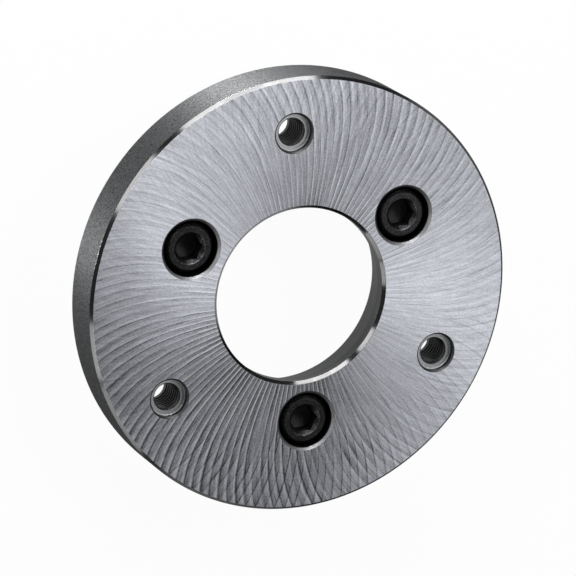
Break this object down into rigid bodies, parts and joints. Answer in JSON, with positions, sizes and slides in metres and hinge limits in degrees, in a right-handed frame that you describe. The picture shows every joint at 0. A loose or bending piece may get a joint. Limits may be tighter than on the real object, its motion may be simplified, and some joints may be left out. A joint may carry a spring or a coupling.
{
  "type": "chuck adapter plate",
  "caption": "Turned steel disc with a short-taper seat in its bore that carries a lathe chuck on a spindle nose: tapped holes for the chuck and socket screws for the spindle.",
  "frame": {"origin": "centre of the back (spindle) face, where the short taper has its gauge diameter", "axes": "+Z along the plate's axis towards the chuck; +Y through one of the tapped holes"},
  "size_m": [0.14, 0.14, 0.0313],
  "materials": {
    "plate_steel": "ground faces, satin turned rim and bore",
    "black_screw_steel": "black oxide, oiled"
  },
  "bodies": {
    "root": {"adapter_plate": "plate_steel", "cap_screws": "black_screw_steel"}
  },
  "joints": []
}
